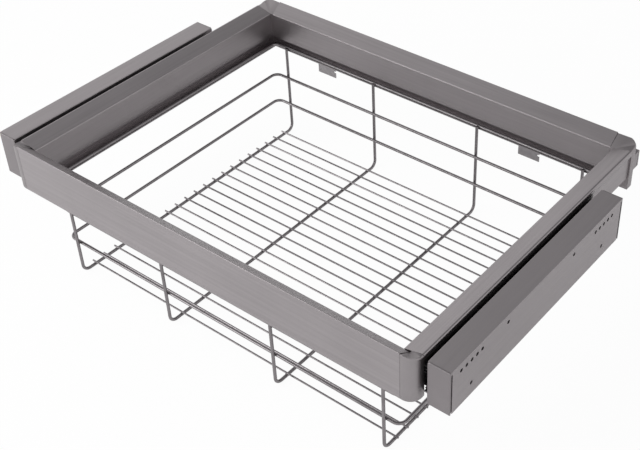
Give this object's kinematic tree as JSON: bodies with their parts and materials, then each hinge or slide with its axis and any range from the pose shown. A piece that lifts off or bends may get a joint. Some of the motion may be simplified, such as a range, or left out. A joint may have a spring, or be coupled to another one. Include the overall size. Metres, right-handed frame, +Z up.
{
  "type": "pull out cabinet basket",
  "caption": "wire basket hung in a hollow-rail sliding frame that runs on ball slides between two side housings screwed to a cabinet's walls",
  "frame": {"origin": "middle of the width, middle of the depth from the front rail's face to the rear pads, at the basket's underside", "axes": "+Z up, -Y is the front (the frame slides out towards -Y), +X to the right seen from the front's own left-hand side as in the picture"},
  "size_m": [0.664, 0.4598, 0.1927],
  "materials": {
    "rail": "satin anodised",
    "end_piece": "satin grey",
    "wire": "plated, slightly dulled",
    "slide": "black coated steel",
    "steel": "zinc plated",
    "pad": "matte",
    "rubber": "matte"
  },
  "bodies": {
    "housings": {"left_housing": "rail", "right_housing": "rail", "left_front_cap": "end_piece", "right_front_cap": "end_piece", "left_rear_cap": "end_piece", "right_rear_cap": "end_piece", "left_outer_member": "slide", "right_outer_member": "slide", "left_slide_rivets": "steel", "right_slide_rivets": "steel", "left_end_stop": "rubber", "right_end_stop": "rubber"},
    "carriage": {"front_rail": "rail", "back_rail": "rail", "left_rail": "rail", "right_rail": "rail", "front_left_corner": "end_piece", "front_right_corner": "end_piece", "back_left_corner": "end_piece", "back_right_corner": "end_piece", "rear_pads": "pad", "basket_clips": "steel", "clip_rivets": "steel", "left_inner_member": "slide", "right_inner_member": "slide", "left_rail_screws": "steel", "right_rail_screws": "steel"},
    "basket": {"rim_sides": "wire", "rim_bends": "wire", "upper_ring_sides": "wire", "upper_ring_bends": "wire", "lower_ring_sides": "wire", "lower_ring_bends": "wire", "u_wire_left_end": "wire", "u_wire_left": "wire", "u_wire_right": "wire", "u_wire_right_end": "wire", "cross_wires": "wire"},
    "middle_left": {"left_middle_member": "slide"},
    "outer_cage_left": {"left_outer_cage": "steel", "left_outer_balls": "steel"},
    "inner_cage_left": {"left_inner_cage": "steel", "left_inner_balls": "steel"},
    "middle_right": {"right_middle_member": "slide"},
    "outer_cage_right": {"right_outer_cage": "steel", "right_outer_balls": "steel"},
    "inner_cage_right": {"right_inner_cage": "steel", "right_inner_balls": "steel"}
  },
  "joints": [
    {"name": "pull_out", "type": "slide", "parent": "housings", "child": "carriage", "axis": [0, -1, 0], "range_m": [0, 0.32]},
    {"name": "middle_left_travel", "type": "slide", "parent": "housings", "child": "middle_left", "axis": [0, -1, 0], "range_m": [0, 0.16]},
    {"name": "outer_cage_left_travel", "type": "slide", "parent": "housings", "child": "outer_cage_left", "axis": [0, -1, 0], "range_m": [0, 0.08]},
    {"name": "inner_cage_left_travel", "type": "slide", "parent": "housings", "child": "inner_cage_left", "axis": [0, -1, 0], "range_m": [0, 0.24]},
    {"name": "middle_right_travel", "type": "slide", "parent": "housings", "child": "middle_right", "axis": [0, -1, 0], "range_m": [0, 0.16]},
    {"name": "outer_cage_right_travel", "type": "slide", "parent": "housings", "child": "outer_cage_right", "axis": [0, -1, 0], "range_m": [0, 0.08]},
    {"name": "inner_cage_right_travel", "type": "slide", "parent": "housings", "child": "inner_cage_right", "axis": [0, -1, 0], "range_m": [0, 0.24]},
    {"name": "basket_lift", "type": "slide", "parent": "carriage", "child": "basket", "axis": [0, 0, 1], "range_m": [0, 0.2]}
  ],
  "couplings": [
    {"joint": "middle_left_travel", "follows": "pull_out", "ratio": 0.5},
    {"joint": "outer_cage_left_travel", "follows": "pull_out", "ratio": 0.25},
    {"joint": "inner_cage_left_travel", "follows": "pull_out", "ratio": 0.75},
    {"joint": "middle_right_travel", "follows": "pull_out", "ratio": 0.5},
    {"joint": "outer_cage_right_travel", "follows": "pull_out", "ratio": 0.25},
    {"joint": "inner_cage_right_travel", "follows": "pull_out", "ratio": 0.75}
  ]
}
